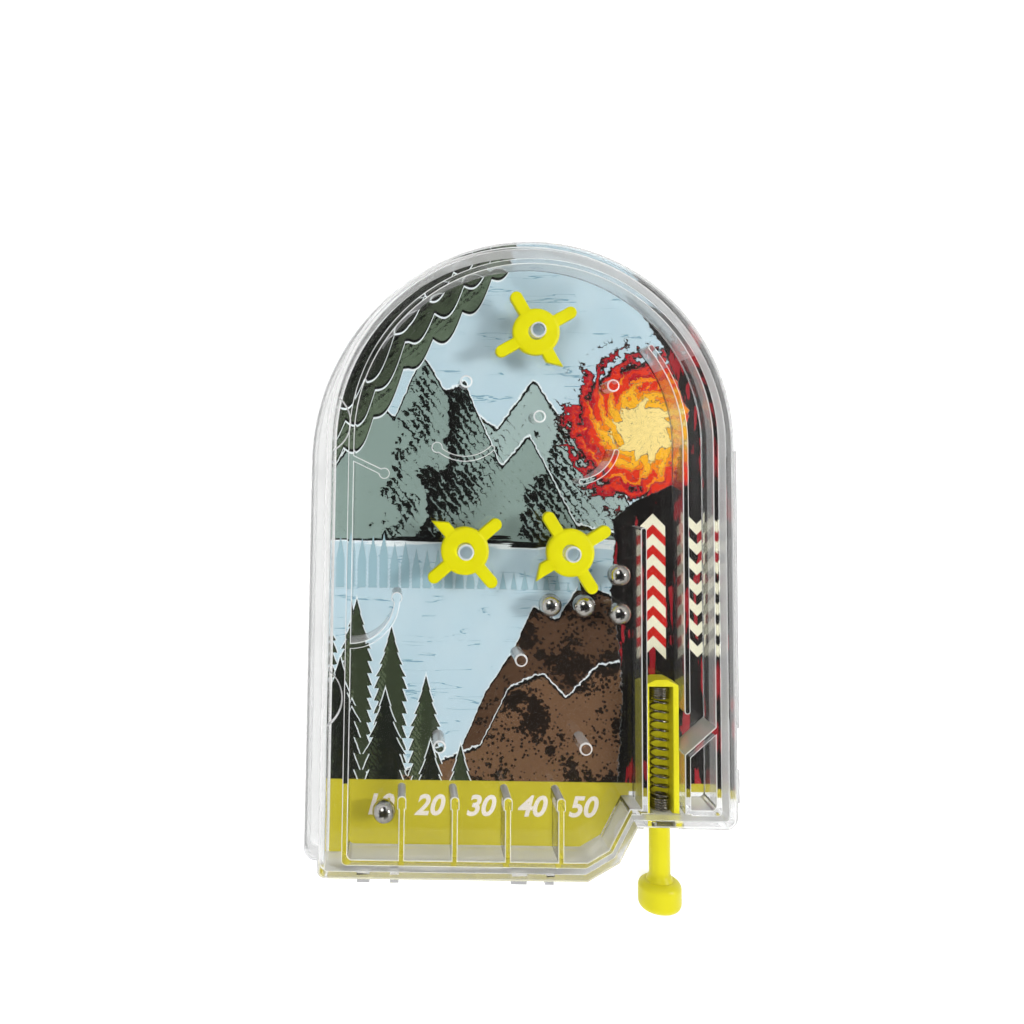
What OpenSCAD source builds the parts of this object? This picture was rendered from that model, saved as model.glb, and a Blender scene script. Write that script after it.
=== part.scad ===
// Handheld pinball game with an arched clear case, three spinners and a pull plunger.
// Millimetres. The case lies on its back: +Z to the player, +Y towards the arch,
// origin on the table under the middle of the tray.

/* [Case] */
// Width of the tray across its straight sides
case_w = 88.2; // [88:0.1:88.6]
// Length of the tray from the arch to the bottom edge
case_l = 131.2; // [131:0.1:131.6]
// Height of the closed case
case_h = 13; // [12.8:0.1:14]
// Radius of the tray's arched end
arch_r = 42.4; // [42.4:0.1:42.7]
// Height of the tray's wall under the flange
tray_h = 5.8; // [5.5:0.1:6]
// Thickness of the tray's floor
floor_t = 1.2; // [1:0.1:1.4]
// Thickness of the tray's wall
tray_wall = 1; // [0.8:0.1:1]
// Radius of the case's bottom corners
corner_r = 2.6; // [2:0.1:3]

/* [Cover] */
// Inset of the cover from the tray at the sides, as an average of the two
cover_side = 3; // [3:0.1:3.2]
// Inset of the cover from the tray at the two ends
cover_end = 2.6; // [2.4:0.1:2.8]
// Thickness of the cover's wall
cover_wall = 1.1; // [0.9:0.1:1.1]
// Thickness of the cover's face
face_t = 1.4; // [1.2:0.1:1.6]
// Thickness of the flange that closes the tray
flange_t = 1.2; // [1:0.1:1.3]

/* [Playfield] */
// Thickness of the printed card
card_t = 0.4; // [0.2:0.1:0.5]
// Thickness of the clear playfield plate
plate_t = 1; // [0.8:0.1:1.2]
// Height of the top of the rails
rail_top = 10; // [9.8:0.1:10.4]
// Thickness of the rails
rail_t = 1.2; // [1:0.1:1.3]
// Inner radius of the rim rail's arch
rim_r = 36.7; // [36.5:0.1:36.9]
// Sideways shift of the playfield from the middle of the case
field_x = 1.7; // [1.5:0.1:1.9]
// Width of the plunger's lane
lane_w = 7.4; // [7.2:0.1:7.6]
// Spacing of the score slots
slot_pitch = 10.6; // [10.4:0.1:10.8]
// Radius of a fixed peg
peg_r = 1.3; // [1.1:0.1:1.5]

/* [Spinners] */
// Radius of a spinner's hub
hub_r = 4.95; // [4.5:0.05:5.2]
// Radius of a spinner's arms
arm_r = 9.6; // [9:0.1:9.6]
// Width of a spinner's arm
arm_w = 2.6; // [2.2:0.1:2.8]
// Thickness of a spinner
spinner_t = 2; // [1.6:0.1:2.2]
// Height of a spinner's underside
spinner_z = 6.4; // [6.4:0.1:6.8]
// Radius of the pin that a spinner turns on
pin_r = 1.62; // [1.4:0.02:1.7]
// Radial clearance between a pin and its spinner
pin_gap = 0.08; // [0.04:0.01:0.1]

/* [Balls] */
// Diameter of a steel ball
ball_d = 4.76; // [4.5:0.02:4.76]

/* [Plunger] */
// Width of the plunger's spring frame
frame_w = 6.8; // [6.6:0.1:7]
// Width of the channel inside the frame
channel_w = 4.4; // [4.2:0.1:4.6]
// Radius of the plunger's rod
rod_r = 2.1; // [1.8:0.1:2.1]
// Radius of the knob
knob_r = 4.3; // [3.9:0.1:4.3]
// Height of the middle of the rod above the table
rod_z = 5.3; // [5.3:0.05:5.4]
// Radius of the spring, measured to the outside
spring_r = 1.9; // [1.7:0.05:1.95]
// Diameter of the spring's wire
wire_d = 0.45; // [0.4:0.05:0.45]
// Number of open turns in the spring
open_turns = 10.5; // [9:0.5:11]
// Number of close turns at each end of the spring
end_turns = 3; // [2:1:3]

/* [Hidden] */
$fn = 96;
eps = 0.02;
clear_c = [0.86, 0.92, 0.95, 0.45];

// Heights, from the table up
card_z = floor_t;
plate_z = card_z + card_t;
field_z = plate_z + plate_t;
flange_z = tray_h;
face_z = case_h - face_t;
ball_r = ball_d / 2;
ball_z = field_z + ball_r + eps;

// Plan of the case, whose bottom edge slants up to a block under the plunger's lane
arch_c = [field_x, case_l / 2 - arch_r];
bottom_y = -case_l / 2;
block_y = -55.1;
slant_foot = 12.4;
slant_knee = [20.3, -61];
slant_low = 30;
slant_high = 62;
side_low = -62.2;
shoulder_y = [-34.9, 21.9];

// Bulge of the tray's left side, which leaves the arch at this angle
bulge_turn = 110;
bulge_r = (case_w / 2 + arch_c[0] + arch_r * cos(bulge_turn)) / (1 + cos(bulge_turn));
bulge_c = arch_c - (bulge_r - arch_r) * [cos(bulge_turn), sin(bulge_turn)];

// Plan of the cover
cover_r = case_w / 2 - cover_side;
cover_c = [0.5, arch_c[1] - 0.4];
cover_left = cover_c[0] - cover_r;

// Plan of the printed card
card_c = [2.1, 22.45];
card_r = 41.3;
card_low = -64.4;
card_block = -49.2;
card_left = card_c[0] - card_r;

// Plan of the playfield
rim_c = [field_x, 23.3];
rim_bottom = -60.25;
rim_block = -49.8;
rim_left = field_x - rim_r;
rim_right = field_x + rim_r;
return_out = 31.7;
return_in = return_out - rail_t;
lane_x1 = field_x + return_in;
lane_x0 = lane_x1 - lane_w;
lane_mid = (lane_x0 + lane_x1) / 2;
slot_x0 = rim_left + 10.7;
slot_top = -47.9;

// Places on the playfield, from the middle of the case
spinner_at = [[2.5, 46.1], [-12, 0.5], [9.7, 0.4]];
spinner_turn = [300, 131, 212];
peg_at = [[-12.2, 35.3], [2.95, 28.3], [18.1, 34.85], [-0.6, -21], [-16.9, -38.3], [12.45, -38.3]];
ball_at = [[20.3, -4.3], [6, -10.65], [13.05, -10.75], [20.35, -12.2], [-27.9, -52.75]];

// Plunger, at rest against the cover's stop
frame_top = -25.05;
bar_top = 1.45;
stop_out = block_y + cover_end;
stop_in = stop_out + cover_wall;
bar_bottom = 1.1;
frame_z0 = field_z + 0.2;
frame_z1 = rod_z + rod_r - 0.1;
floor_top = frame_z0 + 0.5;
gate_half = frame_w / 2 + 0.2;
gate_top = rod_z + rod_r + 0.3;
tongue_half = channel_w / 2 - 0.35;
knob_y = -65.5;
knob_l = 5.7;
knob_edge = 1.5;

// Spring between the frame's top bar and the stop
spring_y0 = stop_in + 0.05;
spring_y1 = frame_top - bar_top - 0.05;
coil_r = spring_r - wire_d / 2;
end_pitch = 0.9;
spring_span = spring_y1 - spring_y0 - wire_d;
open_pitch = (spring_span - 2 * end_turns * end_pitch) / open_turns;
turns = open_turns + 2 * end_turns;
steps = 8;
sides = 6;
rings = turns * steps;

// Rectangle from x0, y0 to x1, y1 with its two lower corners rounded
module pocket(x0, y0, x1, y1, r) {
    translate([x0, y0 + r]) square([x1 - x0, y1 - y0 - r]);
    translate([x0 + r, y0]) square([x1 - x0 - 2 * r, y1 - y0]);
    translate([x0 + r, y0 + r]) circle(r);
    translate([x1 - r, y0 + r]) circle(r);
}

// Corners of a slanted bottom edge between two heights, drawn in by d from the tray's edge
function slant(low, high, d) = [
    [slant_foot + (cos(slant_low) * (low - bottom_y) - d) / sin(slant_low), low],
    slant_knee + d * [-0.75, 0.72],
    [slant_knee[0] + (cos(slant_high) * (high - slant_knee[1]) - d) / sin(slant_high), high]];

// Plan of the tray, drawn in by d
module tray_plan(d) {
    half = case_w / 2;
    low = bottom_y + d;
    high = block_y + d;
    left = cover_left - 0.75 + d / 2;
    translate(arch_c) circle(arch_r - d);
    intersection() {
        translate(bulge_c) circle(bulge_r - d);
        polygon([bulge_c, bulge_c + 60 * [cos(bulge_turn), sin(bulge_turn)],
            [-60, 70], [-60, bulge_c[1]]]);
    }
    pocket(-half + d, side_low + d, 0, bulge_c[1], max(corner_r - d, 0.5));
    pocket(left, low, slant_foot - d, 0, max(1.6 - d, 0.5));
    pocket(0, high, half - d, arch_c[1], max(corner_r - d, 0.5));
    polygon([[-10, low], each slant(low, high, d), [slant_knee[0], 0], [-10, 0]]);
    // Shoulder along the right side
    translate([0, shoulder_y[0] + d])
        square([half + 0.5 - d, shoulder_y[1] - shoulder_y[0] - 2 * d]);
}

// Plan of the cover, drawn in by d
module cover_plan(d) {
    low = bottom_y + cover_end + d;
    high = block_y + cover_end + d;
    translate(cover_c) circle(cover_r - d);
    pocket(cover_left + d, low, slant_foot - 1 - d, cover_c[1], max(1.6 - d, 0.5));
    pocket(0, high, cover_c[0] + cover_r - d, cover_c[1], max(2 - d, 0.5));
    polygon([[-10, low], each slant(low, high, 2.3 + d), [slant_knee[0], 0], [-10, 0]]);
}

// Doorway that the plunger's frame slides through, from height z0 to z1
module gate(z0, z1) {
    translate([lane_mid - gate_half, block_y - 1, z0]) cube([2 * gate_half, 6, z1 - z0]);
}

module rear_case() {
    color(clear_c) difference() {
        union() {
            linear_extrude(floor_t) tray_plan(0);
            linear_extrude(tray_h) difference() {
                tray_plan(0);
                tray_plan(tray_wall);
            }
            // Catch on the right side
            translate([case_w / 2 - 0.5, -50.2, 1]) cube([1.35, 6.6, tray_h - 1]);
        }
        gate(field_z, tray_h + 1);
    }
}

// The card is narrower than the tray and lies against its right wall
module print_card() {
    color("skyblue") translate([0, 0, card_z]) linear_extrude(card_t) intersection() {
        tray_plan(tray_wall + 0.2);
        union() {
            translate(card_c) circle(card_r);
            polygon([[card_left, card_c[1]], [card_left, card_low], [14, card_low], [23, -52.5],
                [23, card_block], [case_w / 2, card_block], [case_w / 2, card_c[1]]]);
        }
    }
}

module playfield_plate() {
    color(clear_c) translate([0, 0, plate_z]) linear_extrude(plate_t) tray_plan(tray_wall + 0.1);
}

// Anything that stands on the plate up to the top of the rails
module on_plate() {
    translate([0, 0, field_z]) linear_extrude(rail_top - field_z) children();
}

// Plan of the rim, drawn out by grow
module rim_plan(grow) {
    low = rim_bottom - grow;
    high = rim_block + 2;
    translate(rim_c) circle(rim_r + grow);
    pocket(rim_left - grow, low, slant_foot - 1, rim_c[1], 1);
    pocket(0, rim_block - grow, rim_right + grow, rim_c[1], 1);
    polygon([[-10, low], each slant(low, high, 4.5 - 0.8 * grow), [-10, high]]);
}

// The rim is open under the plunger's lane
module rim_rail() {
    color(clear_c) on_plate() difference() {
        rim_plan(rail_t);
        rim_plan(0);
        translate([lane_x0 - rail_t, -70]) square([lane_w + 2 * rail_t, 30]);
    }
}

module lane_rail() {
    color(clear_c) on_plate() {
        translate([lane_x0 - rail_t, -50.7]) square([rail_t, 56]);
        translate([lane_x0 - rail_t / 2, 5.3]) circle(rail_t / 2);
    }
}

module return_rail() {
    low = -30.6;
    tip = 39;
    mid = (return_in + return_out) / 2;
    color(clear_c) on_plate() {
        translate([lane_x1, low]) square([rail_t, rim_c[1] - low]);
        translate([lane_x1 + rail_t / 2, low]) circle(rail_t / 2);
        translate(rim_c) difference() {
            intersection() {
                circle(return_out);
                polygon([[0, 0], [60, 0], [60, 60 * tan(tip)]]);
            }
            circle(return_in);
        }
        translate(rim_c) rotate(tip) translate([mid, 0]) circle(rail_t / 2);
    }
}

module return_ramp() {
    top = -33.6;
    low = -39.1;
    color(clear_c) on_plate() {
        polygon([[rim_right, top], [lane_x1, low], [lane_x1, low - 0.6],
            [lane_x1 + rail_t, low - 0.6], [rim_right, top - 1.7]]);
        translate([lane_x1, -50.7]) square([rail_t, low - 0.3 + 50.7]);
    }
}

// Wall between two score slots, with a thicker rounded head
module slot_divider(i) {
    x = slot_x0 + i * slot_pitch;
    color(clear_c) on_plate() {
        translate([x - rail_t / 2, rim_bottom]) square([rail_t, slot_top - rim_bottom - 1]);
        translate([x, slot_top - 0.9]) circle(0.9);
        translate([x - 0.9, slot_top - 2.6]) square([1.8, 1.7]);
    }
}

module slot_divider_1() { slot_divider(0); }
module slot_divider_2() { slot_divider(1); }
module slot_divider_3() { slot_divider(2); }
module slot_divider_4() { slot_divider(3); }

// Fixed peg with a chamfered top
module peg(i) {
    chamfer = 0.3;
    color(clear_c) translate([peg_at[i][0], peg_at[i][1], field_z]) {
        cylinder(r = peg_r, h = rail_top - field_z - chamfer);
        translate([0, 0, rail_top - field_z - chamfer])
            cylinder(r1 = peg_r, r2 = peg_r - chamfer, h = chamfer);
    }
}

module peg_1() { peg(0); }
module peg_2() { peg(1); }
module peg_3() { peg(2); }
module peg_4() { peg(3); }
module peg_5() { peg(4); }
module peg_6() { peg(5); }

// Curved rail round a centre, from angle a0 over an arc under 180 degrees
module arc_rail(centre, r, a0, arc) {
    far = 3 * r;
    translate(centre) rotate(a0) {
        difference() {
            intersection() {
                circle(r + rail_t / 2);
                polygon([[0, 0], [far, 0], far * [cos(arc / 2), sin(arc / 2)],
                    far * [cos(arc), sin(arc)]]);
            }
            circle(r - rail_t / 2);
        }
        translate([r, 0]) circle(rail_t / 2);
        rotate(arc) translate([r, 0]) circle(rail_t / 2);
    }
}

module cup_guide() {
    color(clear_c) on_plate() {
        arc_rail([-12.4, 27.6], 8.2, 226.5, 87);
        translate([-18.05, 21.65]) circle(rail_t * 0.95);
    }
}

module curl_guide() {
    color(clear_c) on_plate() {
        difference() {
            arc_rail([-35.2, -9.2], 9.4, -93, 94);
            translate([rim_left - 5, -25]) square([5, 20]);
        }
        translate([-25.85, -8.9]) circle(rail_t * 0.95);
    }
}

module bow_guide() {
    color(clear_c) on_plate() arc_rail([10.7, 23.2], 8.2, -84, 70);
}

module spur_guide() {
    tip = [-28.8, 16.2];
    root = [rim_left, 19.1];
    lean = atan2(tip[1] - root[1], tip[0] - root[0]);
    color(clear_c) on_plate() {
        difference() {
            translate(root) rotate(lean) translate([-1, -rail_t / 2]) square([norm(tip - root) + 1, rail_t]);
            translate([rim_left - 3, 10]) square([3, 20]);
        }
        translate(tip) circle(rail_t * 0.95);
    }
}

// Pin with a shoulder that carries a spinner above the plate
module pin(i) {
    shoulder = spinner_z - 0.1 - field_z;
    chamfer = 0.35;
    top = face_z - 0.3;
    color(clear_c) translate([spinner_at[i][0], spinner_at[i][1], field_z]) {
        cylinder(r = pin_r + 0.8, h = shoulder);
        cylinder(r = pin_r, h = top - field_z - chamfer);
        translate([0, 0, top - field_z - chamfer])
            cylinder(r1 = pin_r, r2 = pin_r - chamfer, h = chamfer);
    }
}

module pin_1() { pin(0); }
module pin_2() { pin(1); }
module pin_3() { pin(2); }

module front_cover() {
    color(clear_c) difference() {
        union() {
            translate([0, 0, face_z]) linear_extrude(face_t)
                cover_plan(0);
            translate([0, 0, field_z + eps]) linear_extrude(face_z - field_z - eps) difference() {
                cover_plan(0);
                cover_plan(cover_wall);
            }
            translate([0, 0, flange_z]) linear_extrude(flange_t) difference() {
                tray_plan(0);
                cover_plan(cover_wall);
            }
            // Rounded lugs under the face, at the left side
            translate([0, 0, rail_top + 0.2]) linear_extrude(face_z - rail_top - 0.2) intersection() {
                cover_plan(cover_wall);
                union() {
                    translate([-42.2, 26.4]) circle(6.4);
                    translate([-42.9, -28.6]) circle(6.4);
                }
            }
            // Ribs that brace the bottom wall on the flange
            for (rib = [[-31.8, 2.6], [-25.6, 1.8], [-0.7, 3.2], [5.4, 1.8]])
                translate([rib[0] - rib[1] / 2, bottom_y + 0.3, flange_z])
                    cube([rib[1], cover_end, 3.4]);
        }
        gate(field_z - 1, gate_top);
    }
}

// Tongue in the cover's doorway, which holds the lower end of the spring
module spring_stop() {
    low = floor_top + 0.3;
    color(clear_c) translate([lane_mid - tongue_half, stop_out, low])
        cube([2 * tongue_half, cover_wall, gate_top - low]);
}

// Arm along +X, with a round tip or a tip cut to a point
module spinner_arm(pointed) {
    half = arm_w / 2;
    if (pointed) {
        polygon([[0, -half], [arm_r - 3, -half], [arm_r - 0.5, half], [0, half]]);
    } else {
        translate([0, -half]) square([arm_r - half, arm_w]);
        translate([arm_r - half, 0]) circle(half);
    }
}

module spinner(i) {
    dome = 0.3;
    color("yellow") translate([spinner_at[i][0], spinner_at[i][1], spinner_z]) difference() {
        union() {
            rotate(spinner_turn[i]) linear_extrude(spinner_t - dome)
                for (k = [0:3]) rotate(90 * k) spinner_arm(k == 0);
            cylinder(r = hub_r, h = spinner_t - dome);
            translate([0, 0, spinner_t - dome]) cylinder(r1 = hub_r, r2 = hub_r - 0.8, h = dome);
        }
        translate([0, 0, -1]) cylinder(r = pin_r + pin_gap, h = spinner_t + 2);
    }
}

module spinner_1() { spinner(0); }
module spinner_2() { spinner(1); }
module spinner_3() { spinner(2); }

module plunger() {
    bar_end = stop_out - 0.1 - bar_bottom;
    half = frame_w / 2;
    nose = [2.2, 1.1];
    color("yellow") {
        difference() {
            translate([lane_mid, 0, frame_z0]) linear_extrude(frame_z1 - frame_z0)
                polygon([[-half, bar_end], [half, bar_end], [half, frame_top - nose[1]],
                    [half - nose[0], frame_top], [nose[0] - half, frame_top],
                    [-half, frame_top - nose[1]]]);
            translate([lane_mid - channel_w / 2, bar_end + bar_bottom, floor_top])
                cube([channel_w, frame_top - bar_top - bar_end - bar_bottom, 9]);
        }
        translate([lane_mid, bar_end + 0.5, rod_z]) rotate([90, 0, 0])
            cylinder(r = rod_r, h = bar_end + 0.5 - knob_y + 1);
        // Knob with rounded rims and a flared neck
        translate([lane_mid, knob_y, rod_z]) rotate([90, 0, 0]) rotate_extrude() {
            translate([0, knob_edge]) square([knob_r, knob_l - 2 * knob_edge]);
            square([knob_r - knob_edge, knob_l]);
            translate([knob_r - knob_edge, knob_edge]) circle(knob_edge);
            translate([knob_r - knob_edge, knob_l - knob_edge]) circle(knob_edge);
            polygon([[0, -1.3], [rod_r, -1.3], [knob_r - knob_edge, 0.2], [0, 0.2]]);
        }
    }
}

// Distance along the spring after t turns
function rise(t) = t < end_turns ? t * end_pitch
    : t > turns - end_turns ? spring_span - (turns - t) * end_pitch
    : end_turns * end_pitch + (t - end_turns) * open_pitch;

function coil_point(t) = [coil_r * cos(360 * t), spring_y0 + wire_d / 2 + rise(t), coil_r * sin(360 * t)];

spring_path = [for (k = [0:rings]) coil_point(k / steps)];

function unit(v) = v / norm(v);

// Ring of points round the wire at point k of its path
function wire_ring(k) =
    let (ahead = unit(spring_path[min(k + 1, rings)] - spring_path[max(k - 1, 0)]),
        out = unit([spring_path[k][0], 0, spring_path[k][2]]),
        across = unit(cross(ahead, out)), up = cross(across, ahead))
    [for (s = [0:sides - 1])
        spring_path[k] + wire_d / 2 * (cos(360 * s / sides) * up + sin(360 * s / sides) * across)];

spring_points = [for (k = [0:rings]) each wire_ring(k)];

spring_faces = concat(
    [[for (s = [0:sides - 1]) s]],
    [for (k = [0:rings - 1]) for (s = [0:sides - 1])
        let (a = k * sides + s, b = k * sides + (s + 1) % sides)
        each [[a, a + sides, b], [b, a + sides, b + sides]]],
    [[for (s = [sides - 1:-1:0]) rings * sides + s]]);

// Least gap between turns of the wire, measured on the path's own points
spring_gap = min([for (k = [0:rings - steps + 1]) for (j = [k + steps - 1:min(k + steps + 1, rings)])
    norm(spring_path[k] - spring_path[j])]) - wire_d;

module spring() {
    echo(least_gap_mm = spring_gap);
    color("silver") translate([lane_mid, 0, rod_z]) polyhedron(spring_points, spring_faces);
}

module ball(i) {
    color("lightgray") translate([ball_at[i][0], ball_at[i][1], ball_z]) sphere(r = ball_r);
}

module ball_1() { ball(0); }
module ball_2() { ball(1); }
module ball_3() { ball(2); }
module ball_4() { ball(3); }
module ball_5() { ball(4); }

rear_case();
print_card();
playfield_plate();
rim_rail();
lane_rail();
return_rail();
return_ramp();
slot_divider_1();
slot_divider_2();
slot_divider_3();
slot_divider_4();
peg_1();
peg_2();
peg_3();
peg_4();
peg_5();
peg_6();
cup_guide();
curl_guide();
bow_guide();
spur_guide();
pin_1();
pin_2();
pin_3();
front_cover();
spring_stop();
spinner_1();
spinner_2();
spinner_3();
plunger();
spring();
ball_1();
ball_2();
ball_3();
ball_4();
ball_5();
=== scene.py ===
import math

import bmesh
import bpy
from mathutils import Matrix, Vector


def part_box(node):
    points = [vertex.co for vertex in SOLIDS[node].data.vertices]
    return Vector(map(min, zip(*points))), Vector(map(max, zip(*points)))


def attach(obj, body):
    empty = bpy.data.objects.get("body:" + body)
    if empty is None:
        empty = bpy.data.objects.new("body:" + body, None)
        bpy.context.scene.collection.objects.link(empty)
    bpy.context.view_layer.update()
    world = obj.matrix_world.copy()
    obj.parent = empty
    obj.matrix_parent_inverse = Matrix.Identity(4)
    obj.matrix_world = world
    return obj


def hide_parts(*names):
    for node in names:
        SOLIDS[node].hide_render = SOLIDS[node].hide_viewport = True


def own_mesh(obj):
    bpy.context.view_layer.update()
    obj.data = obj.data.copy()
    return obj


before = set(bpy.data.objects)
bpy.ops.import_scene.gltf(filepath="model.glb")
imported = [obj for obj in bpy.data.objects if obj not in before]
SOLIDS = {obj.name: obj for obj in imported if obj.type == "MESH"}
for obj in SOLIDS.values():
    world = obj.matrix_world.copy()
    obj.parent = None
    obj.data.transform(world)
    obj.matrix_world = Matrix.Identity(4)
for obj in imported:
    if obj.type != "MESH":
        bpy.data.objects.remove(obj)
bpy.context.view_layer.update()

bl_info = {
    "name": "Handheld Pinball Game",
    "version": (1, 0, 0),
    "blender": (4, 5, 0),
    "location": "View3D > Sidebar > Pinball",
    "description": "Dresses a handheld pinball game in clear plastic, print, yellow plastic and steel",
    "category": "Object",
}

MM = 0.001
RAIL_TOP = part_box("rim_rail")[1].z
PLATE_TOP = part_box("playfield_plate")[1].z
CARD_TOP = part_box("print_card")[1].z
TOUCH = 1e-6  # metres within which two heights count as one
SHARP = math.radians(28)  # faces that meet at more than this have an edge worth rounding
SMOOTH = math.radians(32)  # faces that meet at less than this are shaded as one surface

# Places and sizes on the game, in millimetres
FLANGE = (5.7, 7.05)  # heights between which the cover's flange and the tray's rim lie
COVER_END = -63.05  # Y just beyond the cover's lower wall
PLANE_GAP = 0.03  # keeps clear faces that touch in the solids out of one plane
CARD_GAP = 0.02  # the same under the card
SPINNER_MIDDLE = 7.0  # height that parts the spinners' upper edges from their lower ones
PLUNGER_MIDDLE = 6.0  # the same for the plunger
ARM_FACE = 26.3  # X of the inner face of the plunger's arm beside the lane's rail
ARM_ENDS = (-53.0, -26.0)  # Y between which that face lies
ARM_TRIM = 0.4  # how much thinner that arm is than in the solid
ROD_END = -53.6  # Y just inside the wall of the plunger's frame that the rod meets
WIRE = 0.45  # the spring's wire
COIL_SHIFT = 0.15  # the coil's radius is this much larger than in the solid, and its middle nearer the rail

# The printed card
INK = "#141412"  # the picture's black
SUN = (26.5, 26.0)  # middle of the picture's sun
CARD_EDGE = 70.0  # beyond the card's farthest edge, to both sides
SOFT_EDGE = 0.07  # half the width over which one ink runs into the next
CHEVRON_PITCH = 4.26  # from one chevron to the next
BAND_TOP = (-47.45, -47.6)  # Y between which the score band's upper edge runs out
SLOT_NUMBERS = ((10, -29.3), (20, -18.7), (30, -8.1), (40, 2.6), (50, 13.2))  # each number and its middle
NUMBER_FOOT = -54.7  # line that the slot numbers stand on
INK_DEPTH = 0.004  # half the thickness of the numbers' ink
CAPITAL = 0.71  # height of a capital in Blender's own font, as a part of the font's size

# Finishes of a clear moulding, as numbers of its material slots
# The finish of the walls that face the arch is painted light: they are made milkier where light falls on
# them. The finish of the corners is paler, partly real haze and partly a painted highlight along the rounded
# edges
FLAT, WALL, PAINTED_LIT_WALL, CORNER_HIGHLIGHT, OUTER_WALL, RIM = range(6)
OUTER_MILK = 0.45  # how milky the case's outer walls are
RIM_MILK = 0.1  # how milky its flange and rim are

FIELD = ("playfield_plate", "rim_rail", "lane_rail", "return_rail", "return_ramp",
         "slot_divider_1", "slot_divider_2", "slot_divider_3", "slot_divider_4",
         "peg_1", "peg_2", "peg_3", "peg_4", "peg_5", "peg_6",
         "cup_guide", "curl_guide", "bow_guide", "spur_guide")


def linear(code):
    """sRGB hex to the linear colour that Blender's sockets take"""
    parts = [int(code[i : i + 2], 16) / 255 for i in (1, 3, 5)]
    return [c / 12.92 if c <= 0.04045 else ((c + 0.055) / 1.055) ** 2.4 for c in parts] + [1.0]


def node(tree, kind, *feeds, out=0, named=None, **settings):
    """Adds one shader node, such as "TexNoise" or "Math ADD", and gives its output. feeds go to its sockets
    in order, named ones by name"""
    kind, _, operation = kind.partition(" ")
    new = tree.nodes.new("ShaderNode" + kind)
    if operation:
        new.operation = operation
    for name, value in settings.items():
        setattr(new, name, value)
    pairs = [(new.inputs[i], feed) for i, feed in enumerate(feeds)]
    pairs += [(new.inputs[name], feed) for name, feed in (named or {}).items()]
    for socket, feed in pairs:
        if isinstance(feed, bpy.types.NodeSocket):
            tree.links.new(feed, socket)
        elif feed is not None:
            socket.default_value = feed
    return new.outputs[out] if new.outputs else None


def blank_material(name):
    """A new material and its empty node tree"""
    material = bpy.data.materials.new(name)
    material.use_nodes = True
    material.node_tree.nodes.clear()
    return material, material.node_tree


def only(obj):
    """Selects an object alone and makes it active"""
    bpy.ops.object.select_all(action="DESELECT")
    bpy.context.view_layer.objects.active = obj
    obj.select_set(True)


def cast(name, *nodes):
    """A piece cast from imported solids: copied, merged and joined into one clean shell"""
    shells = []
    for part in nodes:
        shell = bpy.data.objects.new(name, SOLIDS[part].data.copy())
        bpy.context.collection.objects.link(shell)
        shell.data.materials.clear()
        only(shell)
        bpy.ops.mesh.customdata_custom_splitnormals_clear()
        bpy.ops.object.mode_set(mode="EDIT")
        bpy.ops.mesh.select_all(action="SELECT")
        bpy.ops.mesh.remove_doubles(threshold=0.1 * TOUCH)
        bpy.ops.mesh.dissolve_limited(angle_limit=math.radians(0.5))
        bpy.ops.object.mode_set(mode="OBJECT")
        shells.append(shell)
    piece = shells[0]
    piece.name = piece.data.name = name
    only(piece)
    for other in shells[1:]:
        join = piece.modifiers.new("join", "BOOLEAN")
        join.operation = "UNION"
        join.object = other
        bpy.ops.object.modifier_apply(modifier="join")
        bpy.data.objects.remove(other)
    return piece


def shift(piece, rise, choose):
    """Moves the vertices whose height choose() picks up by rise, in millimetres"""
    for v in piece.data.vertices:
        if choose(v.co.z):
            v.co.z += rise * MM


def round_edges(piece, width, steps, choose, level=False):
    """Rounds the sharp edges, or only the level ones of them, whose middle choose() picks, in millimetres"""
    only(piece)
    bpy.ops.object.mode_set(mode="EDIT")
    bpy.ops.mesh.select_mode(type="EDGE")
    bpy.ops.mesh.select_all(action="DESELECT")
    shape = bmesh.from_edit_mesh(piece.data)
    for edge in shape.edges:
        a, b = (v.co / MM for v in edge.verts)
        sharp = len(edge.link_faces) == 2 and edge.calc_face_angle(0) > SHARP
        wanted = not level or abs(b.z - a.z) < 0.01
        if sharp and wanted and choose((a + b) / 2):
            edge.select_set(True)
    bmesh.update_edit_mesh(piece.data)
    bpy.ops.mesh.bevel(offset=width * MM, segments=steps, affect="EDGES", clamp_overlap=False)
    bpy.ops.object.mode_set(mode="OBJECT")


def polish(piece):
    """Smooth shading that stays flat on flat faces"""
    only(piece)
    bpy.ops.object.shade_smooth_by_angle(angle=SMOOTH)
    weigh = piece.modifiers.new("weigh", "WEIGHTED_NORMAL")
    weigh.keep_sharp = True
    bpy.ops.object.modifier_apply(modifier="weigh")


def lay_out(piece, material, body, slot, *nodes):
    """Gives a piece its material, its body and the solids that it stands for; slot, its slot in the record,
    is not used
    """
    if material:
        piece.data.materials.clear()
        piece.data.materials.append(material)
    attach(piece, body)
    if nodes:
        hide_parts(*nodes)


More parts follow.
